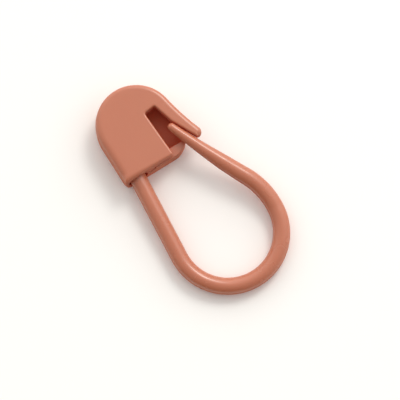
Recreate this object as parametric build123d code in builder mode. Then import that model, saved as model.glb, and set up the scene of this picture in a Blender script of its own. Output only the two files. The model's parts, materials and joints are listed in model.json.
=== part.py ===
from build123d import *
from math import asin, atan2, cos, degrees, hypot, radians, sin, sqrt
import os

# Locking stitch marker in moulded plastic, lying on its back.
# A round wire loop is held in the mouth of a flat head at its leg, and its tapered arm
# lies in a window of the head, behind a hook.
# Units are millimetres. The origin is on the head's back face, at the centre of its round end.
# +Y runs along the leg from the loop to the head, +X from the leg to the arm, +Z out of the front.

# Wire loop, measured on its centre line
wire_diameter = 1.55
bow_radius = 4.9
leg_length = 8.04
leg_height = 1.35
root_length = 3.9

# Flex places round the bow, in degrees from the arm's side
spread_angle = 215
lift_angle = 270
bow_end_angle = 0
knuckle_radius = 1.2
flex_gap = 0.04

# Arm, with the place of its tip in the head's window
shoulder_radius = 7.0
arm_bend = 5.2
tip_side = 2.57
tip_drop = 1.96
tip_lift = 0.54
tip_diameter = 0.72
taper_start_diameter = 1.42
taper_start_share = 0.3
arm_sections = 5

# Collar that keeps the leg in the head
collar_diameter = 2.1
collar_thickness = 0.6
collar_inset = 0.6

# Head, shared by both shells
head_radius = 3.69
head_drop = 4.16
head_thickness = 2.9
head_turn = 4.5
leg_offset = 2.37
barrel_edge_radius = 0.7
leg_clearance = 0.07
mouth_clearance = 0.17
mouth_depth = 0.5

# Front cover
cover_thickness = 1.0
cover_edge_radius = 0.32
sleeve_width = 1.8
hook_angle = 10
hook_reach = 2.42
hook_width = 0.84
hook_end_slant = 0.33
hook_corner_radius = 0.12
arm_gap = 0.1
window_left = 1.17
window_left_slant = 0.22
window_top_left = 0.42
window_top_right = 0.56
window_width = 1.12
window_corner_radius = 0.2
window_foot_radius = 0.18

# Back tray
floor_thickness = 0.75
tray_wall = 0.32
lip_width = 0.8
rib_thickness = 0.4
tray_angle = 10
tray_overhang = 0.1
tray_corner_offset = 3.44
tray_corner_radius = 2.1
tray_edge_radius = 0.25
pocket_corner_radius = 0.2

# Locating pegs on the cover, each in a boss of the tray
peg_diameter = 0.8
peg_length = 0.9
boss_diameter = 1.6
peg_side = 0.15
lower_peg_drop = 2.3
upper_peg_rise = 2.2

# Fits
shell_fit = 0.03
peg_fit = 0.03
collar_fit = 0.05
overrun = 1.0

os.makedirs("parts", exist_ok=True)

wire_radius = wire_diameter / 2
split_height = head_thickness - cover_thickness
sleeve_height = head_thickness / 2


# Planes of the head and of the loop.
# The loop leans back from the mouth until the bow lies on the table.
head_plane = Plane.XY.rotated((0, 0, head_turn))
mouth = Vector(-leg_offset, -head_drop).rotate(Axis.Z, head_turn)
loop_lean = asin((leg_height - wire_radius) / (leg_length + bow_radius))
loop_plane = Plane(
    origin=(mouth.X, mouth.Y, leg_height),
    x_dir=(1, 0, 0),
    z_dir=(0, -sin(loop_lean), cos(loop_lean)),
)
bow_center = (bow_radius, -leg_length)


def flex_place(angle):
    """Place on the bow's centre line in the loop's plane, turned so that X runs along the wire."""
    turn = radians(angle)
    along = (bow_radius * (1 + cos(turn)), bow_radius * sin(turn) - leg_length)
    return Location((*along, 0), (0, 0, angle + 90))


# The arm's plane starts where the bow ends, with X running to the tip in the head's window.
tip_height = split_height + tip_lift + tip_diameter / 2
tip_place = head_plane.from_local_coords((tip_side, -tip_drop, tip_height))
bow_end = loop_plane.location * flex_place(bow_end_angle)
bow_to_tip = Plane(bow_end).to_local_coords(tip_place)
tip_turn = atan2(bow_to_tip.Y, bow_to_tip.X)
tip_rise_angle = degrees(atan2(bow_to_tip.Z, hypot(bow_to_tip.X, bow_to_tip.Y)))
arm_plane = Plane(
    bow_end
    * Location((0, 0, 0), (0, 0, degrees(tip_turn)))
    * Location((0, 0, 0), (0, -tip_rise_angle, 0))
)

# The shoulder turns away from the bow until the arm, with its slight bend back, ends at the tip.
half_bend = radians(arm_bend) / 2
center_to_tip = Vector(
    bow_to_tip.length - shoulder_radius * sin(tip_turn),
    -shoulder_radius * cos(tip_turn),
)
tip_distance = sqrt(center_to_tip.length**2 - (shoulder_radius * cos(half_bend)) ** 2)
arm_chord = tip_distance - shoulder_radius * sin(half_bend)
shoulder_end_turn = atan2(center_to_tip.Y, center_to_tip.X) - atan2(
    arm_chord * cos(half_bend), shoulder_radius + arm_chord * sin(half_bend)
)
shoulder_turn = 90 + degrees(tip_turn + shoulder_end_turn)
arm_bend_radius = arm_chord / 2 / sin(half_bend)
arm_length = arm_bend_radius * radians(arm_bend)

with BuildLine(arm_plane) as shoulder_path:
    JernArc((0, 0), (cos(tip_turn), -sin(tip_turn)), shoulder_radius, shoulder_turn)

with BuildLine(arm_plane) as arm_path:
    JernArc(shoulder_path.line @ 1, shoulder_path.line % 1, arm_bend_radius, -arm_bend)


def arm_radius(share):
    """Radius of the arm at a share of its length: a slow taper, then a fast one."""
    middle = taper_start_diameter / 2
    if share < taper_start_share:
        return wire_radius + (middle - wire_radius) * share / taper_start_share
    return middle + (tip_diameter / 2 - middle) * (share - taper_start_share) / (1 - taper_start_share)


def beside_arm(share, gap, ahead=0):
    """Point beside the arm's outer side, a little ahead of its place, in the head's plane."""
    along = arm_path.line % share
    outward = Vector(along.Y, -along.X).normalized()
    point = arm_path.line @ share + outward * (arm_radius(share) + gap) + along * ahead
    local = head_plane.to_local_coords(point)
    return (local.X, local.Y)


def section_at(line, share):
    """Plane square to a line at a share of its length."""
    return Plane(origin=line @ share, z_dir=line % share)


# Head as one block, rounded on the side that wraps the leg
slab_plane = Plane(origin=(0, 0, 0), x_dir=head_plane.x_dir, z_dir=-head_plane.y_dir)
slab_width = 4 * head_radius

with BuildPart() as head_slab:
    with BuildSketch(slab_plane) as slab_profile:
        with Locations((-head_radius, 0)):
            Rectangle(slab_width, head_thickness, align=(Align.MIN, Align.MIN))
        fillet(slab_profile.vertices().group_by(Axis.X)[0], radius=barrel_edge_radius)
    extrude(amount=2 * head_radius + head_drop, both=True)

# Bore that takes the leg and its collar, a little wider at the mouth
mouth_plane = Plane(origin=loop_plane.origin, x_dir=loop_plane.x_dir, z_dir=loop_plane.y_dir)
collar_start = root_length - collar_inset - collar_thickness

with BuildPart() as leg_bore:
    with BuildSketch(mouth_plane.offset(-overrun)):
        Circle(wire_radius + leg_clearance)
    extrude(amount=overrun + root_length + collar_fit)
    with BuildSketch(mouth_plane.offset(-overrun)):
        Circle(wire_radius + mouth_clearance)
    extrude(amount=overrun + mouth_depth)
    with BuildSketch(mouth_plane.offset(collar_start - collar_fit)):
        Circle(collar_diameter / 2 + collar_fit)
    extrude(amount=collar_thickness + 2 * collar_fit)

# Outline of the front cover: a round end, a hook on the arm's side and an open window
hook_inner_end = beside_arm(1 - hook_reach / arm_length, arm_gap)
hook_outer_end = beside_arm(1 - (hook_reach - hook_end_slant) / arm_length, arm_gap + hook_width)
hook_inner_top = beside_arm(1, arm_gap, tip_diameter / 2)
window_right = window_left + window_width
sleeve_right = sleeve_width - leg_offset
peg_places = [(peg_side, -lower_peg_drop), (peg_side, upper_peg_rise)]

with BuildPart() as front_cover:
    with BuildSketch(head_plane.offset(split_height)) as cover_plan:
        with BuildLine():
            left_side = Line((-head_radius, -head_drop), (-head_radius, 0))
            round_end = CenterArc((0, 0), head_radius, 180, hook_angle - 180)
            hook_outer = TangentArc(round_end @ 1, hook_outer_end, tangent=round_end % 1)
            hook_end = TangentArc(hook_outer @ 1, hook_inner_end, tangent=hook_outer % 1)
            Polyline(
                hook_inner_end,
                hook_inner_top,
                (window_right, window_top_right),
                (window_left, window_top_left),
                (window_left + window_left_slant, -head_drop),
                (-head_radius, -head_drop),
            )
        make_face()
        for corner, radius in (
            ((window_left, window_top_left), window_corner_radius),
            ((window_right, window_top_right), window_corner_radius),
            ((window_left + window_left_slant, -head_drop), window_foot_radius),
            (hook_inner_end, hook_corner_radius),
        ):
            fillet(cover_plan.vertices().sort_by_distance(corner)[0], radius=radius)
    extrude(amount=cover_thickness)
    fillet(
        front_cover.faces().sort_by(Axis.Z)[-1].edges(),
        radius=cover_edge_radius,
    )
    # Sleeve half that reaches down over the leg
    with BuildSketch(head_plane.offset(sleeve_height)):
        with Locations((-head_radius, -head_drop)):
            Rectangle(head_radius + sleeve_right, head_drop, align=(Align.MIN, Align.MIN))
    extrude(amount=split_height - sleeve_height)
    add(head_slab.part, mode=Mode.INTERSECT)
    add(leg_bore.part, mode=Mode.SUBTRACT)
    # Locating pegs
    with BuildSketch(head_plane.offset(split_height - peg_length)):
        with Locations(*peg_places):
            Circle(peg_diameter / 2)
    extrude(amount=peg_length)
front_cover.part.label = "front_cover"
export_step(front_cover.part, "parts/front_cover.step")

# Outline of the back tray: the same round end, straight down to a rounded corner under the arm
tray_drop = head_drop + tray_overhang

with BuildSketch() as tray_plan:
    with BuildLine():
        tray_end = CenterArc((0, 0), head_radius, 180, -180 - tray_angle)
        tray_side = Line(tray_end @ 1, (tray_corner_offset, -tray_drop))
        Polyline(tray_side @ 1, (-head_radius, -tray_drop), (-head_radius, 0))
    make_face()
    tray_corner = tray_plan.vertices().sort_by_distance(tray_side @ 1)[0]
    fillet(tray_corner, radius=tray_corner_radius)

pocket_left = window_left - rib_thickness / 2
pocket_bottom = lip_width - head_drop
pocket_top = window_top_right + rib_thickness / 2

with BuildSketch() as tray_inside:
    offset(tray_plan.sketch, amount=-tray_wall)
    with Locations((0, -tray_drop)):
        Rectangle(
            2 * (head_radius + overrun),
            tray_overhang + lip_width,
            align=(Align.CENTER, Align.MIN),
            mode=Mode.SUBTRACT,
        )

with BuildPart() as back_tray:
    with BuildSketch(head_plane):
        add(tray_plan.sketch)
    extrude(amount=split_height)
    fillet(back_tray.faces().sort_by(Axis.Z)[0].edges(), radius=tray_edge_radius)
    add(head_slab.part, mode=Mode.INTERSECT)
    # Recess for the cover's sleeve half
    with BuildSketch(head_plane.offset(sleeve_height)):
        with Locations((sleeve_right + shell_fit, shell_fit)):
            Rectangle(
                2 * head_radius,
                head_drop + overrun,
                align=(Align.MAX, Align.MAX),
            )
    extrude(amount=split_height, mode=Mode.SUBTRACT)
    # Pocket under the window
    with BuildSketch(head_plane.offset(floor_thickness)) as pocket_plan:
        add(tray_inside.sketch)
        with Locations((pocket_left, pocket_bottom)):
            Rectangle(
                2 * head_radius,
                pocket_top - pocket_bottom,
                align=(Align.MIN, Align.MIN),
                mode=Mode.INTERSECT,
            )
        fillet(pocket_plan.vertices().group_by(Axis.X)[0], radius=pocket_corner_radius)
    extrude(amount=split_height, mode=Mode.SUBTRACT)
    # Hollow beside the pocket, round the bosses
    with BuildSketch(head_plane.offset(floor_thickness)):
        add(tray_inside.sketch)
        with Locations((pocket_left - rib_thickness, pocket_top + rib_thickness)):
            Rectangle(
                2 * head_radius,
                2 * head_radius,
                align=(Align.MIN, Align.MAX),
                mode=Mode.SUBTRACT,
            )
        with Locations((sleeve_right + rib_thickness, rib_thickness)):
            Rectangle(
                2 * head_radius,
                2 * head_radius,
                align=(Align.MAX, Align.MAX),
                mode=Mode.SUBTRACT,
            )
        with Locations(*peg_places):
            Circle(boss_diameter / 2, mode=Mode.SUBTRACT)
    extrude(amount=split_height, mode=Mode.SUBTRACT)
    # Sockets for the pegs
    with BuildSketch(head_plane.offset(split_height)):
        with Locations(*peg_places):
            Circle(peg_diameter / 2 + peg_fit)
    extrude(amount=-(peg_length + peg_fit), mode=Mode.SUBTRACT)
    add(leg_bore.part, mode=Mode.SUBTRACT)
back_tray.part.label = "back_tray"
export_step(back_tray.part, "parts/back_tray.step")

# Knuckles: at a flex place one piece ends round, and the next one starts hollow.
spread_knuckle = Plane(loop_plane.location * flex_place(spread_angle))
press_knuckle = Plane(arm_plane.location * Location((0, 0, 0), (0, 0, -degrees(tip_turn))))
knuckle_reach = 2 * knuckle_radius
half_gap_angle = degrees(flex_gap / 2 / bow_radius)

with BuildSketch() as knuckle_trim:
    Rectangle(knuckle_reach, 2 * knuckle_reach, align=(Align.MIN, Align.CENTER))
    Circle(knuckle_radius, mode=Mode.SUBTRACT)

# Fixed leg: root with its collar, leg, and the bow up to the first flex place
with BuildLine(loop_plane) as leg_path:
    Line((0, root_length), (0, -leg_length))
    leg_bow = CenterArc(bow_center, bow_radius, 180, spread_angle - 180)
    Line(leg_bow @ 1, leg_bow @ 1 + (leg_bow % 1) * (knuckle_radius + wire_radius))

with BuildPart() as fixed_leg:
    with BuildSketch(section_at(leg_path.line, 0)):
        Circle(wire_radius)
    sweep(path=leg_path.line)
    with BuildSketch(mouth_plane.offset(collar_start)):
        Circle(collar_diameter / 2)
    extrude(amount=collar_thickness)
    with BuildSketch(spread_knuckle):
        add(knuckle_trim.sketch)
    extrude(amount=wire_diameter, both=True, mode=Mode.SUBTRACT)
fixed_leg.part.label = "fixed_leg"
export_step(fixed_leg.part, "parts/fixed_leg.step")

# Near bow: from the first flex place to the bottom of the bow
with BuildLine(loop_plane) as near_path:
    CenterArc(bow_center, bow_radius, spread_angle, lift_angle - half_gap_angle - spread_angle)

with BuildPart() as near_bow:
    with BuildSketch(section_at(near_path.line, 0)):
        Circle(wire_radius)
    sweep(path=near_path.line)
    with BuildSketch(spread_knuckle):
        Circle(knuckle_radius + flex_gap)
    extrude(amount=wire_diameter, both=True, mode=Mode.SUBTRACT)
near_bow.part.label = "near_bow"
export_step(near_bow.part, "parts/near_bow.step")

# Far bow: from the bottom of the bow to the knuckle where the arm starts
far_turn = 360 + bow_end_angle - lift_angle - half_gap_angle

with BuildLine(loop_plane) as far_path:
    far_arc = CenterArc(bow_center, bow_radius, lift_angle + half_gap_angle, far_turn)
    Line(far_arc @ 1, far_arc @ 1 + (far_arc % 1) * (knuckle_radius + wire_radius))

with BuildPart() as far_bow:
    with BuildSketch(section_at(far_path.line, 0)):
        Circle(wire_radius)
    sweep(path=far_path.line)
    with BuildSketch(press_knuckle):
        add(knuckle_trim.sketch)
    extrude(amount=wire_diameter, both=True, mode=Mode.SUBTRACT)
far_bow.part.label = "far_bow"
export_step(far_bow.part, "parts/far_bow.step")

# Locking arm: shoulder, tapered arm and rounded tip
with BuildPart() as locking_arm:
    with BuildSketch(section_at(shoulder_path.line, 0)):
        Circle(wire_radius)
    sweep(path=shoulder_path.line)
    for index in range(arm_sections):
        share = index / (arm_sections - 1)
        with BuildSketch(section_at(arm_path.line, share)):
            Circle(arm_radius(share))
    loft(ruled=True)
    with Locations(arm_path.line @ 1):
        Sphere(tip_diameter / 2)
    with BuildSketch(press_knuckle):
        Circle(knuckle_radius + flex_gap)
    extrude(amount=wire_diameter, both=True, mode=Mode.SUBTRACT)
locking_arm.part.label = "locking_arm"
export_step(locking_arm.part, "parts/locking_arm.step")
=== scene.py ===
"""Looks of a locking stitch marker, built round the packed frame.

Two moulded shells make the head, and a springy wire loop ends in the arm that locks in it.
"""

import json
from math import atan2, cos, hypot, pi, radians, sin, sqrt

import bmesh
import bpy
from bpy.props import FloatProperty, FloatVectorProperty, IntProperty, PointerProperty
from mathutils import Matrix, Vector


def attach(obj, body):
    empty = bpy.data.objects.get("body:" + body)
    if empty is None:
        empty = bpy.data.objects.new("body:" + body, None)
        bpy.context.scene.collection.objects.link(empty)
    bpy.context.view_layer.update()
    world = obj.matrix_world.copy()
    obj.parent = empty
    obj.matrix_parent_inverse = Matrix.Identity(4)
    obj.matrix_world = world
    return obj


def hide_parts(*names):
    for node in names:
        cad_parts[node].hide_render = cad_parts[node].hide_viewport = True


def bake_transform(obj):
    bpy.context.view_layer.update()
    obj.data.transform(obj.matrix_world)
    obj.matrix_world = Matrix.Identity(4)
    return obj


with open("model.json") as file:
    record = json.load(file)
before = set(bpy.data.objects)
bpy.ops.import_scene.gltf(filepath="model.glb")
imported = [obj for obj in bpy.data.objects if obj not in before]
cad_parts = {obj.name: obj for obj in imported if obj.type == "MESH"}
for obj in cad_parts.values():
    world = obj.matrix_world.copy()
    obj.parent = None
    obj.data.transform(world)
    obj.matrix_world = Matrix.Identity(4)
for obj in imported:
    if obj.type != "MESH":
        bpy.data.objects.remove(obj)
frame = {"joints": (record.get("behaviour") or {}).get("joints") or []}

bl_info = {
    "name": "Stitch marker",
    "version": (1, 0, 0),
    "blender": (4, 5, 0),
    "location": "3D View > Sidebar > Stitch marker",
    "description": "Builds a locking stitch marker from its two shells and its wire loop",
    "category": "Add Mesh",
}

MM = 0.001
ROUND_END_STEPS = 90
HOOK_STEPS = 24
TRAY_CORNER_STEPS = 16
TIP_STEPS = 10
ROOT_STEPS = 4
ROOT_END_SHARE = 0.8  # of the wire's radius, at the chamfered end of the root
SHORT_STEP = 50  # how many times shorter the last step at a wire's end is
PEG_SIDES = 32
PEG_NARROWING = 0.9
SHARP_ANGLE = radians(40)
SENSOR_WIDTH = 36
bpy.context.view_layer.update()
JOINTS = {joint["name"]: joint for joint in frame["joints"]}


def size(name, description, millimetres):
    """A length that the user can change, written in millimetres and kept in metres."""
    return FloatProperty(
        name=name, description=description, default=millimetres * MM, unit="LENGTH", precision=5
    )


def turn(name, description, angle):
    """An angle that the user can change, written in degrees and kept in radians."""
    return FloatProperty(
        name=name, description=description, default=radians(angle), unit="ROTATION"
    )


def number(name, description, value):
    """A plain number that the user can change."""
    return FloatProperty(name=name, description=description, default=value)


def share(name, description, value):
    """A share from 0 to 1 that the user can change."""
    return FloatProperty(
        name=name, description=description, default=value, min=0, max=1, subtype="FACTOR"
    )


def colour(name, description, red, green, blue):
    """A colour that the user can change, as linear red, green and blue."""
    return FloatVectorProperty(
        name=name,
        description=description,
        default=(red, green, blue),
        min=0,
        max=1,
        subtype="COLOR",
    )


class HeadSizes(bpy.types.PropertyGroup):
    """Sizes that both shells share"""

    radius: size("Radius", "Radius of the head's round end", 3.69)
    drop: size("Drop", "From the round end's centre down to the mouth", 4.16)
    thickness: size("Thickness", "Thickness of both shells together", 2.9)
    cover: size("Cover", "Thickness of the front cover beside the sleeve", 1.0)
    turn: turn("Turn", "Turn of the head on the leg", 4.5)
    barrel: size("Barrel", "Rounding of the side that wraps the leg", 0.7)
    leg_offset: size("Leg offset", "From the head's middle to the leg's axis", 2.37)
    leg_clearance: size("Leg clearance", "Gap round the leg in its bore", 0.07)
    mouth_clearance: size("Mouth clearance", "Gap round the leg at the mouth", 0.17)
    mouth_depth: size("Mouth depth", "Depth of the wider mouth", 0.5)
    sleeve: size("Sleeve", "Width of the cover's half sleeve beyond the leg's axis", 1.8)
    fit: size("Fit", "Gap between the sleeve and the tray", 0.03)
    overrun: size("Overrun", "How far a cutter runs past what it cuts", 0.6)


class CoverSizes(bpy.types.PropertyGroup):
    """Sizes of the front cover"""

    rim_edge: size("Rim edge", "Rounding of the edge round the outline", 0.42)
    window_edge: size("Window edge", "Rounding of the edge along the window", 0.14)
    hook_angle: turn("Hook angle", "Where the round end turns into the hook", 10)
    hook_reach: size("Hook reach", "Length of the hook beside the arm", 2.42)
    hook_width: size("Hook width", "Width of the hook at its end", 0.84)
    hook_slant: size("Hook slant", "How much shorter the hook's outer side is", 0.33)
    hook_corner: size("Hook corner", "Rounding of the hook's inner corner", 0.12)
    arm_gap: size("Arm gap", "Gap between the arm and the hook", 0.1)
    window_left: size("Window left", "Window's left side, from the head's middle", 1.17)
    window_slant: size("Window slant", "How far the left side slants outwards at the mouth", 0.22)
    window_top_left: size("Window top left", "Height of the window's left corner", 0.42)
    window_top_right: size("Window top right", "Height of the window's right corner", 0.56)
    window_width: size("Window width", "Width of the window at its top", 1.12)
    window_corner: size("Window corner", "Rounding of the window's corners", 0.2)
    window_foot: size("Window foot", "Rounding of the corner at the window's foot", 0.18)
    peg_diameter: size("Peg diameter", "Diameter of the locating pegs", 0.8)
    peg_length: size("Peg length", "Length of the locating pegs", 0.9)
    peg_side: size("Peg side", "Pegs' distance from the head's middle", 0.15)
    lower_peg: size("Lower peg", "Lower peg's drop below the round end's centre", 2.3)
    upper_peg: size("Upper peg", "Upper peg's rise above the round end's centre", 2.2)


class TraySizes(bpy.types.PropertyGroup):
    """Sizes of the back tray"""

    floor: size("Floor", "Thickness of the floor", 0.75)
    wall: size("Wall", "Thickness of the outer wall", 0.32)
    lip: size("Lip", "Width of the lip that the arm crosses", 0.8)
    rib: size("Rib", "Thickness of the rib beside the pocket", 0.4)
    angle: turn("Side angle", "Where the round end turns into the straight side", 10)
    overhang: size("Overhang", "How far the tray reaches past the cover at the mouth", 0.1)
    corner_offset: size("Corner offset", "Lower right corner, from the head's middle", 3.44)
    corner_radius: size("Corner radius", "Rounding of the lower right corner", 2.1)
    foot_radius: size("Foot radius", "Rounding of the lower left corner under the cover", 0.5)
    edge: size("Edge", "Rounding of the edge that lies on the table", 0.25)


class LoopSizes(bpy.types.PropertyGroup):
    """Sizes of the wire loop"""

    leg_length: size("Leg length", "Straight leg from the mouth to the bow", 8.04)
    leg_height: size("Leg height", "Height of the leg's axis at the mouth", 1.35)
    root_length: size("Root length", "Length of the leg's root in the head", 3.9)
    bow_end: turn("Bow end", "Where the bow turns into the shoulder", 0)
    shoulder_radius: size("Shoulder radius", "Radius of the shoulder's bend", 7.0)
    arm_bend: turn("Arm bend", "Slight bend of the arm towards its tip", 5.2)
    tip_side: size("Tip side", "Tip's place, from the head's middle", 2.57)
    tip_drop: size("Tip drop", "Tip's place, below the round end's centre", 1.96)
    tip_lift: size("Tip lift", "Height of the tip's underside above the tray", 0.54)
    tip_diameter: size("Tip diameter", "Diameter of the arm at its tip", 0.72)
    taper_diameter: size("Taper diameter", "Diameter where the fast taper starts", 1.42)
    taper_start: share("Taper start", "Share of the arm where the fast taper starts", 0.3)
    collar_diameter: size("Collar diameter", "Collar that keeps the root in the head", 2.1)
    collar_thickness: size("Collar thickness", "Thickness of the collar", 0.6)
    collar_inset: size("Collar inset", "From the root's end to the collar", 0.6)
    near_seam: turn("Near seam", "Where the leg's length of wire ends on the bow", 242.5)
    far_seam: turn("Far seam", "Where the arm's length of wire starts on the bow", 319)
    bend_reach: number("Bend reach", "Half of a bending place's length, in wire radii", 1.8)
    sides: IntProperty(name="Sides", description="Sides of the wire's section", default=40, min=12)
    step: size("Step", "Longest step between two sections of the wire", 0.22)


class PlasticLook(bpy.types.PropertyGroup):
    """Finish of the moulded plastic, and the shade painted into its hollows"""

    tint: colour("Colour", "Colour of the plastic", 0.49, 0.15, 0.073)
    deep_tint: colour("Deep colour", "Colour where the plastic looks richer", 0.45, 0.126, 0.059)
    # Painted shade: where ambient occlusion finds a hollow or the floor close by, the colour turns
    # to this darker, deeper red.
    painted_shade_tint: colour("Hollow colour", "Colour deep in a hollow", 0.62, 0.09, 0.027)
    painted_shade_reach: size("Painted shade reach", "How far from a wall the hollow colour starts", 3)
    painted_shade_start: share("Painted shade start", "Openness where the hollow colour starts", 0.55)
    painted_shade_full: share("Painted shade full", "Openness where the hollow colour is full", 0.15)
    roughness: share("Roughness", "Roughness of the plain surface", 0.33)
    wire_gloss: share("Wire gloss", "How much less rough the wire is", 0.06)
    side_start: share("Side start", "Height of the normal where sides turn matte", 0.5)
    side_full: share("Side full", "Height of the normal where sides are fully matte", 0.2)
    shine: share("Shine", "Strength of the reflections", 0.9)
    drift: share("Drift", "How far the roughness drifts up and down", 0.05)
    drift_scale: number("Drift scale", "Waves of the slow drift per metre", 300)
    grain: share("Grain", "Strength of the fine moulded grain", 0.18)
    grain_scale: number("Grain scale", "Grains per metre", 9000)
    grain_depth: size("Grain depth", "Depth of the grain at full strength", 0.01)
    refraction: number("Refraction", "Refractive index of the plastic", 1.49)
    glow: share("Glow", "Share of the light that passes under the surface", 0.12)
    glow_reach: size("Glow reach", "How far light passes under the surface", 0.5)
    glow_tint: colour("Glow colour", "Reach of red, green and blue light", 0.6, 0.25, 0.15)
    soft: size("Softening", "Size of the voxels that soften the shells' edges", 0.05)


class StageLook(bpy.types.PropertyGroup):
    """Camera, light and floor"""

    tilt: turn("Tilt", "Height of the camera over the horizon", 79)
    heading: turn("Heading", "Turn of the camera round the part", -27.6)
    distance: size("Distance", "From the camera to the point it looks at", 200)
    frame_width: size("Frame width", "Width of the picture at the part", 36.15)
    target: FloatVectorProperty(
        name="Target",
        description="Point that the camera looks at",
        default=(2.0 * MM, -8.66 * MM, 1.45 * MM),
        subtype="XYZ",
        unit="LENGTH",
    )
    floor: colour("Floor", "Colour of the floor", 0.925, 0.915, 0.895)
    floor_roughness: share("Floor roughness", "Roughness of the floor", 0.9)
    floor_size: size("Floor size", "Width of the floor", 2900)
    floor_drop: size("Floor drop", "Hair's breadth between the part's back and the floor", 0.01)
    sky_top: share("Sky top", "Strength of the sky straight overhead", 0.83)
    sky_ring: number("Sky ring", "Strength of the sky's ring", 0.99)
    sky_edge: number("Sky edge", "Strength of the sky at the horizon", 0.5)
    sky_lean: share("Sky lean", "How much brighter the sky is on one side", 0.9)
    sky_heading: turn("Sky heading", "Turn of the sky's bright side from the picture's right", 82)
    ring_height: share("Ring height", "Height of the sky's ring", 0.35)
    sky_tint: colour("Sky colour", "Colour of the sky", 1, 0.985, 0.96)
    key_heading: turn("Key heading", "Turn of the main light from the picture's right", 61)
    key_height: turn("Key height", "Height of the main light over the horizon", 48)
    key_distance: size("Key distance", "From the main light to the part", 350)
    key_size: size("Key size", "Width of the main light", 125)
    key_power: number("Key power", "Power of the main light", 0.35)
    key_tint: colour("Key colour", "Colour of the main light", 1, 0.97, 0.92)


def arc(centre, radius, start, end, steps=24):
    """Points along an arc, both ends included. Angles are in radians."""
    angles = [start + (end - start) * index / steps for index in range(steps + 1)]
    return [centre + radius * Vector((cos(angle), sin(angle))) for angle in angles]


def tangent_arc(start, heading, end, steps=12):
    """Points after start on the arc that leaves it along a heading and passes through end."""
    chord = end - start
    left = Vector((-heading.y, heading.x)).normalized()
    reach = chord.length_squared / (2 * chord.dot(left))
    centre = start + left * reach
    first = atan2(start.y - centre.y, start.x - centre.x)
    swing = 2 * (atan2(chord.y, chord.x) - atan2(heading.y, heading.x))
    swing = (swing + pi) % (2 * pi) - pi
    return arc(centre, abs(reach), first, first + swing, steps)[1:]


def rounded_corner(before, corner, after, radius, steps=8):
    """Points of an arc that rounds a corner between its two neighbours."""
    back = (before - corner).normalized()
    ahead = (after - corner).normalized()
    half = back.angle(ahead) / 2
    centre = corner + (back + ahead).normalized() * (radius / sin(half))
    first = corner + back * (radius / sin(half) * cos(half))
    last = corner + ahead * (radius / sin(half) * cos(half))
    start = atan2(first.y - centre.y, first.x - centre.x)
    swing = atan2(last.y - centre.y, last.x - centre.x) - start
    swing = (swing + pi) % (2 * pi) - pi
    return arc(centre, radius, start, start + swing, steps)


class LoopShape:
    """Planes and lines of the wire loop, from its sizes and from the joints of the frame."""

    def __init__(self, loop, head):
        self.sizes = loop
        joint_places = [
            Vector(JOINTS[name]["pos_m"]) for name in ("bow_spread", "arm_lift", "arm_press")
        ]
        self.wire_radius = joint_places[1].z
        self.head = Matrix.Rotation(head.turn, 4, "Z")
        mouth = self.head @ Vector((-head.leg_offset, -head.drop, 0))
        mouth.z = loop.leg_height
        normal = -Vector(JOINTS["bow_spread"]["axis"])
        across = Vector((1, 0, 0))
        self.plane = plane_matrix(mouth, across, normal)
        flat = [(self.plane.inverted() @ place).xy for place in joint_places]
        self.bow_radius = circle_radius(*flat)
        self.bow_centre = Vector((self.bow_radius, -loop.leg_length))
        self.split = head.thickness - head.cover
        self.place_arm()

    def bow_point(self, angle):
        """Point of the bow in the loop's plane."""
        return self.bow_centre + self.bow_radius * Vector((cos(angle), sin(angle)))

    def place_arm(self):
        """Plane of the arm, which starts at the bow's end and has X running to the tip."""
        loop = self.sizes
        tip_height = self.split + loop.tip_lift + loop.tip_diameter / 2
        tip = self.head @ Vector((loop.tip_side, -loop.tip_drop, tip_height))
        start = self.bow_point(loop.bow_end)
        bow_end = self.plane @ Matrix.Translation((start.x, start.y, 0))
        bow_end = bow_end @ Matrix.Rotation(loop.bow_end + pi / 2, 4, "Z")
        to_tip = bow_end.inverted() @ tip
        tip_turn = atan2(to_tip.y, to_tip.x)
        rise = atan2(to_tip.z, hypot(to_tip.x, to_tip.y))
        in_plane = bow_end @ Matrix.Rotation(tip_turn, 4, "Z")
        self.arm_plane = in_plane @ Matrix.Rotation(-rise, 4, "Y")
        half_bend = loop.arm_bend / 2
        radius = loop.shoulder_radius
        self.shoulder_centre = radius * Vector((sin(tip_turn), cos(tip_turn)))
        centre_to_tip = Vector((to_tip.length, 0)) - self.shoulder_centre
        flat = sqrt(centre_to_tip.length_squared - (radius * cos(half_bend)) ** 2)
        chord = flat - radius * sin(half_bend)
        self.shoulder_start = -pi / 2 - tip_turn
        self.shoulder_end = atan2(centre_to_tip.y, centre_to_tip.x) - atan2(
            chord * cos(half_bend), radius + chord * sin(half_bend)
        )
        self.arm_radius_of_bend = chord / 2 / sin(half_bend)
        self.arm_length = self.arm_radius_of_bend * loop.arm_bend
        outward = Vector((cos(self.shoulder_end), sin(self.shoulder_end)))
        self.arm_centre = self.shoulder_centre + (radius + self.arm_radius_of_bend) * outward

    def arm_point(self, part):
        """Point of the arm's centre line and its direction, at a share of the arm's length."""
        angle = self.shoulder_end + pi - self.sizes.arm_bend * part
        outward = Vector((cos(angle), sin(angle)))
        place = self.arm_centre + self.arm_radius_of_bend * outward
        ahead = Vector((outward.y, -outward.x, 0))
        turned = self.arm_plane.to_3x3() @ ahead
        return self.arm_plane @ place.to_3d(), turned

    def thickness(self, part):
        """Radius of the arm at a share of its length: a slow taper, then a fast one."""
        loop = self.sizes
        middle = loop.taper_diameter / 2
        if part < loop.taper_start:
            return self.wire_radius + (middle - self.wire_radius) * part / loop.taper_start
        rest = (part - loop.taper_start) / (1 - loop.taper_start)
        return middle + (loop.tip_diameter / 2 - middle) * rest

    def beside_arm(self, part, gap, ahead=0):
        """Point beside the arm's outer side, in the head's own frame."""
        place, along = self.arm_point(part)
        outward = Vector((along.y, -along.x, 0)).normalized()
        point = place + outward * (self.thickness(part) + gap) + along * ahead
        return (self.head.inverted() @ point).xy


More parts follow.
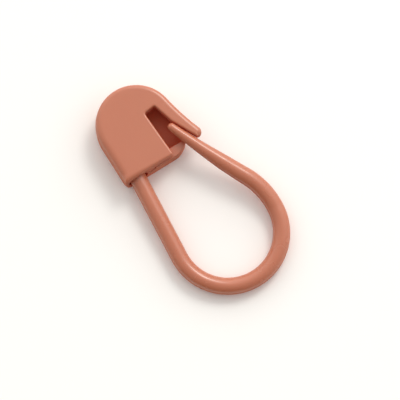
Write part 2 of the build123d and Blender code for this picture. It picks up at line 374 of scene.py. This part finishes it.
def plane_matrix(origin, across, normal):
    """Matrix of a plane from its origin, X direction and normal."""
    across = (across - normal * across.dot(normal)).normalized()
    columns = (across, normal.cross(across), normal)
    return Matrix.Translation(origin) @ Matrix(columns).transposed().to_4x4()


def circle_radius(first, second, third):
    """Radius of the circle through three points."""
    sides = [(second - third).length, (third - first).length, (first - second).length]
    twice_area = abs((second - first).cross(third - first))
    return sides[0] * sides[1] * sides[2] / (2 * twice_area)


def new_object(name, mesh):
    """Object of a mesh, linked to the scene."""
    made = bpy.data.objects.new(name, mesh)
    bpy.context.scene.collection.objects.link(made)
    return made


def solid_from_rings(name, rings):
    """Closed solid from rings of as many points each, capped at both ends."""
    mesh = bmesh.new()
    rows = [[mesh.verts.new(point) for point in ring] for ring in rings]
    count = len(rows[0])
    for lower, upper in zip(rows, rows[1:]):
        for index in range(count):
            ahead = (index + 1) % count
            mesh.faces.new((lower[index], lower[ahead], upper[ahead], upper[index]))
    mesh.faces.new(reversed(rows[0]))
    mesh.faces.new(rows[-1])
    bmesh.ops.recalc_face_normals(mesh, faces=mesh.faces)
    if mesh.calc_volume(signed=True) < 0:
        bmesh.ops.reverse_faces(mesh, faces=mesh.faces)
    data = bpy.data.meshes.new(name)
    mesh.to_mesh(data)
    mesh.free()
    return new_object(name, data)


def inward(points):
    """For each point of a closed outline, the move that brings both its sides inwards by one."""
    area = sum(a.cross(b) for a, b in zip(points, points[1:] + points[:1]))
    side = 1 if area > 0 else -1
    moves = []
    for index, point in enumerate(points):
        back = (point - points[index - 1]).normalized()
        ahead = (points[(index + 1) % len(points)] - point).normalized()
        left = Vector((-back.y, back.x)) * side
        right = Vector((-ahead.y, ahead.x)) * side
        moves.append((left + right) / (1 + left.dot(right)))
    return moves


def wrapped_edges(points, plain, wrapped):
    """Edge radius for each point of an outline, which grows on the side that wraps the leg."""
    return [plain + (wrapped - plain) * max(move.x, 0) ** 2 for move in inward(points)]


def plate(name, points, bottom, top, top_edges=None, bottom_edges=None, steps=6):
    """Plate with a given outline, with rounded top or bottom edges of a radius for each point."""
    moves = inward(points)
    rings = []
    if bottom_edges:
        for index in range(steps + 1):
            angle = pi / 2 * index / steps
            rings.append(
                [
                    (*(point + move * edge * (1 - sin(angle))), bottom + edge * (1 - cos(angle)))
                    for point, move, edge in zip(points, moves, bottom_edges)
                ]
            )
    else:
        rings.append([(*point, bottom) for point in points])
    if top_edges:
        for index in range(steps + 1):
            angle = pi / 2 * index / steps
            rings.append(
                [
                    (*(point + move * edge * (1 - cos(angle))), top - edge * (1 - sin(angle)))
                    for point, move, edge in zip(points, moves, top_edges)
                ]
            )
    else:
        rings.append([(*point, top) for point in points])
    return solid_from_rings(name, rings)


def rectangle(low, high):
    """Corners of a rectangle from its lowest to its highest corner."""
    pairs = ((low[0], low[1]), (high[0], low[1]), (high[0], high[1]), (low[0], high[1]))
    return [Vector(pair) for pair in pairs]


def box(name, low, high):
    """Plain box from its lowest to its highest corner, used as a cutter or a block of a shell."""
    return plate(name, rectangle(low, high), low[2], high[2])


def rod(name, matrix, profile, sides=64):
    """Round solid along the Y axis of a matrix, from pairs of a distance and a radius."""
    angles = [2 * pi * index / sides for index in range(sides)]
    rings = []
    for distance, radius in profile:
        ring = [Vector((radius * cos(angle), distance, radius * sin(angle))) for angle in angles]
        rings.append([matrix @ point for point in ring])
    return solid_from_rings(name, rings)


def combine(target, tool, operation):
    """Joins, cuts or intersects a solid with another one, which is used up."""
    modifier = target.modifiers.new(operation.title(), "BOOLEAN")
    modifier.operation = operation
    modifier.object = tool
    modifier.solver = "EXACT"
    make_plain(target)
    bpy.data.objects.remove(tool)


def make_plain(target):
    """Turns the result of an object's modifiers into its own mesh and removes them."""
    evaluated = target.evaluated_get(bpy.context.evaluated_depsgraph_get())
    target.data = bpy.data.meshes.new_from_object(evaluated)
    target.modifiers.clear()


def soften(target, voxel, relax=8):
    """Remeshes a shell finely and relaxes it, so that every edge is as soft as a moulded one."""
    target.data.transform(Matrix.Scale(1 / MM, 4))
    remesh = target.modifiers.new("Remesh", "REMESH")
    remesh.mode = "VOXEL"
    remesh.voxel_size = voxel / MM
    smooth = target.modifiers.new("Relax", "SMOOTH")
    smooth.factor = 0.5
    smooth.iterations = relax
    make_plain(target)
    target.data.transform(Matrix.Scale(MM, 4))
    target.data.shade_smooth()


def leg_bore(head, loop, shape):
    """Cutter for the bore that takes the leg and its collar, in the head's own frame."""
    matrix = shape.head.inverted() @ shape.plane
    gap = head.leg_clearance
    narrow = shape.wire_radius + gap
    wide = loop.collar_diameter / 2 + gap
    start = loop.root_length - loop.collar_inset - loop.collar_thickness - gap
    end = loop.root_length - loop.collar_inset + gap
    last = loop.root_length + gap
    mouth = shape.wire_radius + head.mouth_clearance
    profile = [
        (-head.overrun, mouth),
        (head.mouth_depth, mouth),
        (head.mouth_depth, narrow),
        (start, narrow),
        (start, wide),
        (end, wide),
        (end, narrow),
        (last, narrow),
    ]
    return rod("bore", matrix, profile)


def peg_places(cover):
    """Places of the locating pegs in the head's own frame."""
    return [Vector((cover.peg_side, -cover.lower_peg)), Vector((cover.peg_side, cover.upper_peg))]


def circle(centre, radius, sides=48):
    """Points round a circle."""
    return arc(centre, radius, 0, 2 * pi * (1 - 1 / sides), sides - 1)


def build_cover(head, cover, loop, shape, voxel):
    """Front cover: a round end, a hook on the arm's side and an open window."""
    split = shape.split
    sleeve_floor = head.thickness / 2
    length = shape.arm_length
    inner_end = shape.beside_arm(1 - cover.hook_reach / length, cover.arm_gap)
    outer_end = shape.beside_arm(
        1 - (cover.hook_reach - cover.hook_slant) / length, cover.arm_gap + cover.hook_width
    )
    inner_top = shape.beside_arm(1, cover.arm_gap, loop.tip_diameter / 2)
    window_right = Vector((cover.window_left + cover.window_width, cover.window_top_right))
    window_left = Vector((cover.window_left, cover.window_top_left))
    window_foot = Vector((cover.window_left + cover.window_slant, -head.drop))
    low_left = Vector((-head.radius, -head.drop))
    wrap_start = low_left + Vector((0, head.barrel))

    round_end = arc(Vector((0, 0)), head.radius, pi, cover.hook_angle, ROUND_END_STEPS)
    heading = Vector((sin(cover.hook_angle), -cos(cover.hook_angle)))
    rim = round_end + tangent_arc(round_end[-1], heading, outer_end, HOOK_STEPS)
    heading = rim[-1] - rim[-2]
    rim += tangent_arc(rim[-1], heading, inner_end)[:-1]
    inner = rounded_corner(rim[-1], inner_end, inner_top, cover.hook_corner)
    inner += [inner_top]
    inner += rounded_corner(inner_top, window_right, window_left, cover.window_corner)
    inner += rounded_corner(window_right, window_left, window_foot, cover.window_corner)
    foot = rounded_corner(window_left, window_foot, low_left, cover.window_foot)
    outline = rim + inner + foot + [low_left, wrap_start]
    edges = wrapped_edges(outline, cover.rim_edge, head.barrel)[: len(round_end)]
    edges += [cover.rim_edge] * (len(rim) - len(round_end))
    edges += [cover.window_edge] * (len(inner) + len(foot)) + [cover.rim_edge, head.barrel]
    shell = plate("front_cover_shell", outline, split, head.thickness, top_edges=edges)
    sleeve_right = head.sleeve - head.leg_offset
    sleeve_top = split + (head.cover - head.barrel) / 2
    sleeve = box("sleeve", (-head.radius, -head.drop, sleeve_floor), (sleeve_right, 0, sleeve_top))
    combine(shell, sleeve, "UNION")
    combine(shell, leg_bore(head, loop, shape), "DIFFERENCE")
    shell.data.transform(shape.head)
    soften(shell, voxel)
    return shell


def build_tray(head, cover, tray, loop, shape, voxel):
    """Back tray: the same round end, straight down to a rounded corner under the arm."""
    split = shape.split
    sleeve_floor = head.thickness / 2
    sleeve_right = head.sleeve - head.leg_offset
    bottom = -head.drop - tray.overhang
    far = 2 * head.radius
    high = 2 * head.thickness
    corner = Vector((tray.corner_offset, bottom))
    low_left = Vector((-head.radius, bottom))
    wrap_start = low_left + Vector((0, head.barrel))
    outline = arc(Vector((0, 0)), head.radius, pi, -tray.angle, ROUND_END_STEPS)
    outline += rounded_corner(
        outline[-1], corner, low_left, tray.corner_radius, TRAY_CORNER_STEPS
    )
    outline += rounded_corner(corner, low_left, wrap_start, tray.foot_radius) + [wrap_start]
    edges = wrapped_edges(outline, tray.edge, head.barrel)
    shell = plate("back_tray_shell", outline, 0, split, bottom_edges=edges)
    recess = box(
        "recess",
        (-far, -far, sleeve_floor),
        (sleeve_right + head.fit, head.fit, head.thickness),
    )
    combine(shell, recess, "DIFFERENCE")

    moves = inward(outline)
    inside = [point + move * tray.wall for point, move in zip(outline, moves)]
    pocket = plate("pocket", inside, tray.floor, head.thickness)
    pocket_left = cover.window_left - tray.rib / 2
    pocket_low = tray.lip - head.drop
    pocket_high = cover.window_top_right + tray.rib / 2
    window_room = box("room", (pocket_left, pocket_low, 0), (far, pocket_high, high))
    combine(pocket, window_room, "INTERSECT")
    combine(shell, pocket, "DIFFERENCE")

    hollow = plate("hollow", inside, tray.floor, head.thickness)
    kept_blocks = {
        "lip": ((-far, -far, 0), (far, pocket_low, high)),
        "rib": ((pocket_left - tray.rib, -far, 0), (far, pocket_high + tray.rib, high)),
        "sleeve_wall": ((-far, -far, 0), (sleeve_right + tray.rib, tray.rib, high)),
    }
    for name, (lowest, highest) in kept_blocks.items():
        combine(hollow, box(name, lowest, highest), "DIFFERENCE")
    for place in peg_places(cover):
        boss = plate("boss", circle(place, cover.peg_diameter), 0, high)
        combine(hollow, boss, "DIFFERENCE")
    combine(shell, hollow, "DIFFERENCE")
    for place in peg_places(cover):
        socket = plate(
            "socket",
            circle(place, cover.peg_diameter / 2 + head.fit),
            split - cover.peg_length - head.fit,
            head.thickness,
        )
        combine(shell, socket, "DIFFERENCE")
    combine(shell, leg_bore(head, loop, shape), "DIFFERENCE")
    shell.data.transform(shape.head)
    soften(shell, voxel)
    return shell


def add_node(tree, kind, defaults=None, **settings):
    """New node of a tree, with its settings and the defaults of its inputs."""
    made = tree.nodes.new(kind)
    for name, value in settings.items():
        setattr(made, name, value)
    for name, value in (defaults or {}).items():
        made.inputs[name].default_value = value
    return made


def connect(tree, *pairs):
    """Links nodes of a tree, by pairs of an output and the input that it feeds."""
    for output, socket in pairs:
        tree.links.new(output, socket)


def mesh_tree(name, **inputs):
    """Geometry node tree with a geometry, a material and the named inputs, and its input node."""
    tree = bpy.data.node_groups.new(name, "GeometryNodeTree")
    kinds = {"Geometry": "Geometry", **inputs, "Material": "Material"}
    for title, kind in kinds.items():
        title = title.replace("_", " ")
        tree.interface.new_socket(title, in_out="INPUT", socket_type="NodeSocket" + kind)
    tree.interface.new_socket("Geometry", in_out="OUTPUT", socket_type="NodeSocketGeometry")
    return tree, add_node(tree, "NodeGroupInput")


def end_tree(tree, given, mesh):
    """Makes real what a tree has built, gives it the material and hands it out."""
    realize = add_node(tree, "GeometryNodeRealizeInstances")
    finish = add_node(tree, "GeometryNodeSetMaterial")
    result = add_node(tree, "NodeGroupOutput")
    connect(
        tree,
        (mesh, realize.inputs["Geometry"]),
        (realize.outputs["Geometry"], finish.inputs["Geometry"]),
        (given.outputs["Material"], finish.inputs["Material"]),
        (finish.outputs["Geometry"], result.inputs["Geometry"]),
    )


def wire_tree():
    """Sweeps a round section along a curve, thicker or thinner by the curve's radius."""
    name = "Wire skin"
    if name in bpy.data.node_groups:
        return bpy.data.node_groups[name]
    tree, given = mesh_tree(name, Wire_radius="Float", Sides="Int", Weld_distance="Float")
    section = add_node(tree, "GeometryNodeCurvePrimitiveCircle")
    share_of_radius = add_node(tree, "GeometryNodeInputRadius")
    skin = add_node(tree, "GeometryNodeCurveToMesh", {"Fill Caps": True})
    weld = add_node(tree, "GeometryNodeMergeByDistance")
    connect(
        tree,
        (given.outputs["Wire radius"], section.inputs["Radius"]),
        (given.outputs["Sides"], section.inputs["Resolution"]),
        (given.outputs["Geometry"], skin.inputs["Curve"]),
        (section.outputs["Curve"], skin.inputs["Profile Curve"]),
        (share_of_radius.outputs["Radius"], skin.inputs["Scale"]),
        (skin.outputs["Mesh"], weld.inputs["Geometry"]),
        (given.outputs["Weld distance"], weld.inputs["Distance"]),
    )
    end_tree(tree, given, weld.outputs["Geometry"])
    return tree


def peg_tree():
    """Puts a chamfered peg on each point."""
    tree, given = mesh_tree("Locating pegs", Radius="Float", Length="Float")
    peg = add_node(tree, "GeometryNodeMeshCone", {"Vertices": PEG_SIDES})
    narrow = add_node(tree, "ShaderNodeMath", {1: PEG_NARROWING}, operation="MULTIPLY")
    place = add_node(tree, "GeometryNodeInstanceOnPoints")
    connect(
        tree,
        (given.outputs["Radius"], peg.inputs["Radius Top"]),
        (given.outputs["Radius"], narrow.inputs[0]),
        (narrow.outputs["Value"], peg.inputs["Radius Bottom"]),
        (given.outputs["Length"], peg.inputs["Depth"]),
        (given.outputs["Geometry"], place.inputs["Points"]),
        (peg.outputs["Mesh"], place.inputs["Instance"]),
    )
    end_tree(tree, given, place.outputs["Instances"])
    return tree


def grow(target, tree, **values):
    """Runs a node tree on an object with its inputs set by name, and keeps the plain mesh."""
    modifier = target.modifiers.new(tree.name, "NODES")
    modifier.node_group = tree
    for socket in tree.interface.items_tree:
        key = socket.name.lower().replace(" ", "_")
        if socket.item_type == "SOCKET" and socket.in_out == "INPUT" and key in values:
            modifier[socket.identifier] = values[key]
    evaluated = target.evaluated_get(bpy.context.evaluated_depsgraph_get())
    mesh = bpy.data.meshes.new_from_object(evaluated)
    name = target.name
    bpy.data.objects.remove(target)
    made = new_object(name, mesh)
    mesh.shade_smooth()
    mesh.set_sharp_from_angle(angle=SHARP_ANGLE)
    return made


def curve_object(name, stops):
    """Poly curve through stops, each a point and a share of the wire's radius."""
    data = bpy.data.curves.new(name, "CURVE")
    data.dimensions = "3D"
    spline = data.splines.new("POLY")
    spline.points.add(len(stops) - 1)
    for target, (place, part) in zip(spline.points, stops):
        target.co = (*place, 1)
        target.radius = part
    return new_object(name, data)


def bow_stops(shape, start, end):
    """Stops along the bow, with one very short step at each end so that neighbours meet flush."""
    steps = max(2, round(abs(end - start) * shape.bow_radius / shape.sizes.step))
    flush = (end - start) / steps / SHORT_STEP
    angles = [start, start + flush]
    angles += [start + (end - start) * index / steps for index in range(1, steps)]
    angles += [end - flush, end]
    return [(shape.plane @ shape.bow_point(angle).to_3d(), 1) for angle in angles]


def leg_stops(shape):
    """Stops from the root's end, past its collar, down to the bow."""
    loop = shape.sizes
    collar = loop.collar_diameter / 2 / shape.wire_radius
    top = loop.root_length - loop.collar_inset
    bottom = top - loop.collar_thickness
    bevel = loop.collar_thickness / 20
    edge = shape.wire_radius / 5
    profile = [
        (loop.root_length, ROOT_END_SHARE),
        (loop.root_length - edge, 1),
        (top, 1),
        (top - bevel, collar),
        (bottom + bevel, collar),
        (bottom, 1),
    ]
    count = round(loop.leg_length / loop.step / 2)
    straight = [bottom * (1 - index / ROOT_STEPS) for index in range(1, ROOT_STEPS)]
    straight += [-loop.leg_length * index / count for index in range(count)]
    profile += [(height, 1) for height in straight]
    return [(shape.plane @ Vector((0, height, 0)), part) for height, part in profile]


def arm_stops(shape):
    """Stops round the shoulder and along the tapering arm to its round tip."""
    loop = shape.sizes
    swing = shape.shoulder_end - shape.shoulder_start
    steps = max(2, round(swing * loop.shoulder_radius / loop.step))
    stops = []
    for index in range(1, steps):
        angle = shape.shoulder_start + swing * index / steps
        place = shape.shoulder_centre + loop.shoulder_radius * Vector((cos(angle), sin(angle)))
        stops.append((shape.arm_plane @ place.to_3d(), 1))
    steps = round(shape.arm_length / loop.step)
    for index in range(steps + 1):
        place, _ = shape.arm_point(index / steps)
        stops.append((place, shape.thickness(index / steps) / shape.wire_radius))
    tip, along = shape.arm_point(1)
    tip_radius = loop.tip_diameter / 2
    for index in range(1, TIP_STEPS + 1):
        angle = pi / 2 * index / TIP_STEPS
        part = max(cos(angle), 0) * tip_radius / shape.wire_radius
        stops.append((tip + along * tip_radius * sin(angle), part))
    return stops


def moulded_surface_and_shade_group(look):
    """Shader group of a moulding's colour and roughness, and of its fine grain as a height.

    Colour and roughness drift slowly. Painted shade turns the colour darker and deeper where
    ambient occlusion finds hollows, and these hollows and the upright sides are matte.
    """
    name = "Moulded surface"
    if name in bpy.data.node_groups:
        return bpy.data.node_groups[name]
    tree = bpy.data.node_groups.new(name, "ShaderNodeTree")
    for title, kind, in_out in (
        ("Colour", "Color", "INPUT"),
        ("Deep colour", "Color", "INPUT"),
        ("Hollow colour", "Color", "INPUT"),
        ("Roughness", "Float", "INPUT"),
        ("Colour", "Color", "OUTPUT"),
        ("Roughness", "Float", "OUTPUT"),
        ("Height", "Float", "OUTPUT"),
    ):
        tree.interface.new_socket(title, in_out=in_out, socket_type="NodeSocket" + kind)
    given = add_node(tree, "NodeGroupInput")
    result = add_node(tree, "NodeGroupOutput")
    place = add_node(tree, "ShaderNodeTexCoord")
    drift = add_node(tree, "ShaderNodeTexNoise", {"Detail": 3, "Scale": look.drift_scale})
    grain = add_node(tree, "ShaderNodeTexNoise", {"Detail": 2, "Scale": look.grain_scale})
    mix = add_node(tree, "ShaderNodeMix", data_type="RGBA")
    # Painted shade: ambient occlusion picks out hollows and places near the floor, and the colour
    # is mixed towards the painted shade colour there.
    hollow = add_node(
        tree, "ShaderNodeAmbientOcclusion", {"Distance": look.painted_shade_reach}, samples=8
    )
    depth = add_node(
        tree, "ShaderNodeMapRange", {"From Min": look.painted_shade_start, "From Max": look.painted_shade_full}
    )
    painted_shade_mix = add_node(tree, "ShaderNodeMix", data_type="RGBA")
    upright = add_node(tree, "ShaderNodeSeparateXYZ")
    slope = add_node(tree, "ShaderNodeMath", operation="ABSOLUTE")
    side = add_node(
        tree, "ShaderNodeMapRange", {"From Min": look.side_start, "From Max": look.side_full}
    )
    matte = add_node(tree, "ShaderNodeMath", operation="MAXIMUM")
    shine = add_node(tree, "ShaderNodeMapRange", {"To Min": -look.drift, "To Max": look.drift})
    add = add_node(tree, "ShaderNodeMath")
    dull = add_node(tree, "ShaderNodeMix", {"B": 1})
    connect(
        tree,
        (place.outputs["Object"], drift.inputs["Vector"]),
        (place.outputs["Object"], grain.inputs["Vector"]),
        (drift.outputs["Fac"], mix.inputs["Factor"]),
        (given.outputs["Colour"], mix.inputs["A"]),
        (given.outputs["Deep colour"], mix.inputs["B"]),
        (hollow.outputs["AO"], depth.inputs["Value"]),
        (depth.outputs["Result"], painted_shade_mix.inputs["Factor"]),
        (mix.outputs["Result"], painted_shade_mix.inputs["A"]),
        (given.outputs["Hollow colour"], painted_shade_mix.inputs["B"]),
        (painted_shade_mix.outputs["Result"], result.inputs["Colour"]),
        (place.outputs["Normal"], upright.inputs["Vector"]),
        (upright.outputs["Z"], slope.inputs[0]),
        (slope.outputs["Value"], side.inputs["Value"]),
        (side.outputs["Result"], matte.inputs[0]),
        (depth.outputs["Result"], matte.inputs[1]),
        (drift.outputs["Fac"], shine.inputs["Value"]),
        (given.outputs["Roughness"], add.inputs[0]),
        (shine.outputs["Result"], add.inputs[1]),
        (matte.outputs["Value"], dull.inputs["Factor"]),
        (add.outputs["Value"], dull.inputs["A"]),
        (dull.outputs["Result"], result.inputs["Roughness"]),
        (grain.outputs["Fac"], result.inputs["Height"]),
    )
    return tree


def plastic(name, look, roughness):
    """Satin moulded plastic, with shade painted into its hollows."""
    made = bpy.data.materials.new(name)
    made.use_nodes = True
    tree = made.node_tree
    surface = add_node(tree, "ShaderNodeGroup", node_tree=moulded_surface_and_shade_group(look))
    surface.inputs["Colour"].default_value = (*look.tint, 1)
    surface.inputs["Deep colour"].default_value = (*look.deep_tint, 1)
    # Painted shade colour, mixed in by ambient occlusion in hollows.
    surface.inputs["Hollow colour"].default_value = (*look.painted_shade_tint, 1)
    surface.inputs["Roughness"].default_value = roughness
    bump = add_node(
        tree, "ShaderNodeBump", {"Strength": look.grain, "Distance": look.grain_depth}
    )
    shader = tree.nodes["Principled BSDF"]
    shader.inputs["IOR"].default_value = look.refraction
    shader.inputs["Specular IOR Level"].default_value = look.shine
    shader.inputs["Subsurface Weight"].default_value = look.glow
    shader.inputs["Subsurface Radius"].default_value = look.glow_tint
    shader.inputs["Subsurface Scale"].default_value = look.glow_reach
    connect(
        tree,
        (surface.outputs["Colour"], shader.inputs["Base Color"]),
        (surface.outputs["Roughness"], shader.inputs["Roughness"]),
        (surface.outputs["Height"], bump.inputs["Height"]),
        (bump.outputs["Normal"], shader.inputs["Normal"]),
    )
    return made


def material(name):
    """Material made by the material operator."""
    found = bpy.data.materials.get(name)
    if found is None:
        raise RuntimeError(f"{name} is missing: make the materials first")
    return found


def loop_shape(scene):
    """Shape of the wire loop from the scene's sizes."""
    return LoopShape(scene.marker_loop, scene.marker_head)


class MaterialsOperator(bpy.types.Operator):
    """Make the moulded plastic of the shells and of the wire"""

    bl_idname = "stitch_marker.materials"
    bl_label = "Plastic"

    def execute(self, context):
        look = context.scene.marker_plastic
        plastic("Head plastic", look, look.roughness)
        plastic("Loop plastic", look, look.roughness - look.wire_gloss)
        return {"FINISHED"}


class CoverOperator(bpy.types.Operator):
    """Build the front cover with its hook, window and locating pegs"""

    bl_idname = "stitch_marker.front_cover"
    bl_label = "Front cover"

    def execute(self, context):
        scene = context.scene
        head, cover = scene.marker_head, scene.marker_cover
        shape = loop_shape(scene)
        shell = build_cover(head, cover, scene.marker_loop, shape, scene.marker_plastic.soft)
        shell.data.materials.append(material("Head plastic"))
        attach(shell, "head")
        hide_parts("front_cover")

        points = bpy.data.meshes.new("locating_pegs")
        split = shape.split
        height = split - cover.peg_length
        places = [shape.head @ place.to_3d() for place in peg_places(cover)]
        points.from_pydata([place + Vector((0, 0, height)) for place in places], [], [])
        pegs = grow(
            new_object("locating_pegs", points),
            peg_tree(),
            radius=cover.peg_diameter / 2,
            length=cover.peg_length,
            material=material("Head plastic"),
        )
        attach(pegs, "head")
        return {"FINISHED"}


class TrayOperator(bpy.types.Operator):
    """Build the back tray with its pocket, ribs and bosses"""

    bl_idname = "stitch_marker.back_tray"
    bl_label = "Back tray"

    def execute(self, context):
        scene = context.scene
        shell = build_tray(
            scene.marker_head,
            scene.marker_cover,
            scene.marker_tray,
            scene.marker_loop,
            loop_shape(scene),
            scene.marker_plastic.soft,
        )
        shell.data.materials.append(material("Head plastic"))
        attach(shell, "head")
        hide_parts("back_tray")
        return {"FINISHED"}


class LoopOperator(bpy.types.Operator):
    """Build the springy wire loop in three lengths"""

    bl_idname = "stitch_marker.wire_loop"
    bl_label = "Wire loop"

    def execute(self, context):
        scene = context.scene
        loop = scene.marker_loop
        shape = loop_shape(scene)
        bow_end = 2 * pi + loop.bow_end
        lengths = {
            "wire_leg": leg_stops(shape) + bow_stops(shape, pi, loop.near_seam)[1:],
            "wire_bow": bow_stops(shape, loop.near_seam, loop.far_seam),
            "wire_arm": bow_stops(shape, loop.far_seam, bow_end)[:-1] + arm_stops(shape),
        }
        nodes = {
            "wire_leg": ["fixed_leg"],
            "wire_bow": ["near_bow"],
            "wire_arm": ["far_bow", "locking_arm"],
        }
        for name, stops in lengths.items():
            skin = grow(
                curve_object(name, stops),
                wire_tree(),
                wire_radius=shape.wire_radius,
                sides=loop.sides,
                weld_distance=shape.wire_radius / 5000,
                material=material("Loop plastic"),
            )
            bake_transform(skin)
            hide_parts(*nodes[name])
        return {"FINISHED"}


def area_light(name, place, target, width, energy, tint):
    """Round soft light that points at the part."""
    data = bpy.data.lights.new(name, "AREA")
    data.shape = "DISK"
    data.size = width
    data.energy = energy
    data.color = tint
    made = new_object(name, data)
    made.location = place
    made.rotation_euler = (place - target).to_track_quat("Z", "Y").to_euler()
    return made


def studio_sky(look, towards):
    """Soft white sky, brightest in a ring over the horizon, and brighter on one side."""
    world = bpy.data.worlds.new("Studio")
    world.use_nodes = True
    tree = world.node_tree
    background = tree.nodes["Background"]
    background.inputs["Color"].default_value = (*look.sky_tint, 1)
    place = add_node(tree, "ShaderNodeTexCoord")
    split = add_node(tree, "ShaderNodeSeparateXYZ")
    ramp = add_node(tree, "ShaderNodeFloatCurve")
    ramp.mapping.use_clip = False
    heights = ramp.mapping.curves[0]
    heights.points[0].location = (0, look.sky_edge)
    heights.points[1].location = (1, look.sky_top)
    heights.points.new(look.ring_height, look.sky_ring)
    ramp.mapping.update()
    side = add_node(tree, "ShaderNodeVectorMath", operation="DOT_PRODUCT")
    side.inputs[1].default_value = towards * look.sky_lean
    lean = add_node(tree, "ShaderNodeMath", operation="MULTIPLY_ADD")
    connect(
        tree,
        (place.outputs["Generated"], split.inputs["Vector"]),
        (place.outputs["Generated"], side.inputs[0]),
        (split.outputs["Z"], ramp.inputs["Value"]),
        (side.outputs["Value"], lean.inputs[0]),
        (ramp.outputs["Value"], lean.inputs[1]),
        (ramp.outputs["Value"], lean.inputs[2]),
        (lean.outputs["Value"], background.inputs["Strength"]),
    )
    return world


class StageOperator(bpy.types.Operator):
    """Set up the pale floor, the soft light and the camera"""

    bl_idname = "stitch_marker.stage"
    bl_label = "Stage"

    def execute(self, context):
        scene = context.scene
        look = scene.marker_stage
        target = Vector(look.target)
        right = Vector((cos(look.heading), sin(look.heading), 0))
        away = Vector((-right.y, right.x, 0))
        towards = -away * cos(look.tilt) + Vector((0, 0, sin(look.tilt)))
        above = towards.cross(right)

        data = bpy.data.cameras.new("Camera")
        data.sensor_width = SENSOR_WIDTH
        data.lens = data.sensor_width * look.distance / look.frame_width
        data.clip_start = look.distance / 100
        camera = new_object("Camera", data)
        axes = Matrix((right, above, towards)).transposed().to_4x4()
        camera.matrix_world = Matrix.Translation(target + towards * look.distance) @ axes
        scene.camera = camera

        half = look.floor_size / 2
        corners = rectangle((-half, -half), (half, half))
        mesh = bpy.data.meshes.new("floor")
        mesh.from_pydata([(*corner, -look.floor_drop) for corner in corners], [], [(0, 1, 2, 3)])
        floor = new_object("floor", mesh)
        paper = bpy.data.materials.new("Floor")
        paper.use_nodes = True
        shader = paper.node_tree.nodes["Principled BSDF"]
        shader.inputs["Base Color"].default_value = (*look.floor, 1)
        shader.inputs["Roughness"].default_value = look.floor_roughness
        mesh.materials.append(paper)

        sky_side = right * cos(look.sky_heading) + away * sin(look.sky_heading)
        scene.world = studio_sky(look, sky_side)
        aim = right * cos(look.key_heading) + away * sin(look.key_heading)
        aim = aim * cos(look.key_height) + Vector((0, 0, sin(look.key_height)))
        place = target + aim * look.key_distance
        area_light("Key", place, target, look.key_size, look.key_power, look.key_tint)
        scene.view_settings.view_transform = "Standard"
        return {"FINISHED"}


class MarkerPanel(bpy.types.Panel):
    """Builds the stitch marker piece by piece"""

    bl_idname = "STITCHMARKER_PT_build"
    bl_label = "Stitch marker"
    bl_space_type = "VIEW_3D"
    bl_region_type = "UI"
    bl_category = "Stitch marker"

    def draw(self, context):
        for step in STEPS:
            self.layout.operator(step.bl_idname)
        for group in SETTINGS:
            rows = self.layout.box()
            rows.label(text=SETTINGS[group].__doc__)
            values = getattr(context.scene, group)
            for name in SETTINGS[group].__annotations__:
                rows.prop(values, name)


SETTINGS = {
    "marker_head": HeadSizes,
    "marker_cover": CoverSizes,
    "marker_tray": TraySizes,
    "marker_loop": LoopSizes,
    "marker_plastic": PlasticLook,
    "marker_stage": StageLook,
}
STEPS = (MaterialsOperator, CoverOperator, TrayOperator, LoopOperator, StageOperator)


def register():
    """Registers the classes and puts the settings on the scene."""
    for kind in (*SETTINGS.values(), *STEPS, MarkerPanel):
        bpy.utils.register_class(kind)
    for name, kind in SETTINGS.items():
        setattr(bpy.types.Scene, name, PointerProperty(type=kind))


def unregister():
    """Removes the settings and the classes again."""
    for name in SETTINGS:
        delattr(bpy.types.Scene, name)
    for kind in reversed((*SETTINGS.values(), *STEPS, MarkerPanel)):
        bpy.utils.unregister_class(kind)


def main():
    """Builds every piece and the stage."""
    register()
    bpy.ops.stitch_marker.materials()
    bpy.ops.stitch_marker.front_cover()
    bpy.ops.stitch_marker.back_tray()
    bpy.ops.stitch_marker.wire_loop()
    bpy.ops.stitch_marker.stage()


def plain(corners):
    """Corners of a box as plain lists of numbers."""
    return [[float(value) for value in corner] for corner in corners]


if __name__ == "__main__":
    main()
